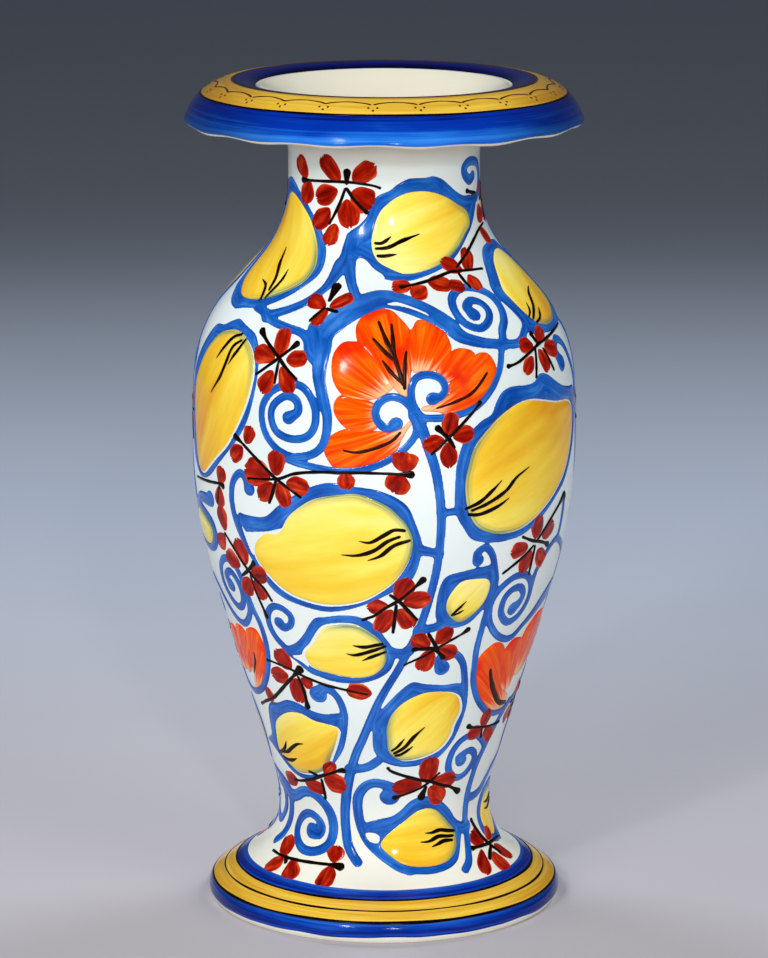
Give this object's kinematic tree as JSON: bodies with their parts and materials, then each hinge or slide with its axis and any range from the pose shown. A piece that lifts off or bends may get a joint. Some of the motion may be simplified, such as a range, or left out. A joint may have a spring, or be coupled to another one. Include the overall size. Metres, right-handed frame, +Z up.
{
  "type": "vase",
  "caption": "Tall footed vase of glazed earthenware with a wide drooping rim, narrow neck and full belly, for cut flowers or display.",
  "frame": {"origin": "centre of the foot's standing face, on the table plane", "axes": "+Z up along the vase's axis; -Y is the front, the side with the large orange flower"},
  "size_m": [0.189, 0.189, 0.4],
  "materials": {
    "white_glaze": "thick glossy tin glaze, faintly cream and pooled",
    "blue_glaze": "glossy cobalt enamel with brush streaks, slightly raised",
    "yellow_glaze": "glossy yellow enamel with brush streaks, slightly raised",
    "orange_glaze": "glossy orange enamel with brush streaks, raised petals",
    "red_glaze": "glossy red enamel in short brush petals",
    "black_glaze": "glossy brown-black line enamel"
  },
  "bodies": {
    "root": {"foot": "white_glaze", "lower_bowl": "white_glaze", "upper_bowl": "white_glaze", "neck_collar": "white_glaze", "rim_flange": "white_glaze"}
  },
  "joints": []
}
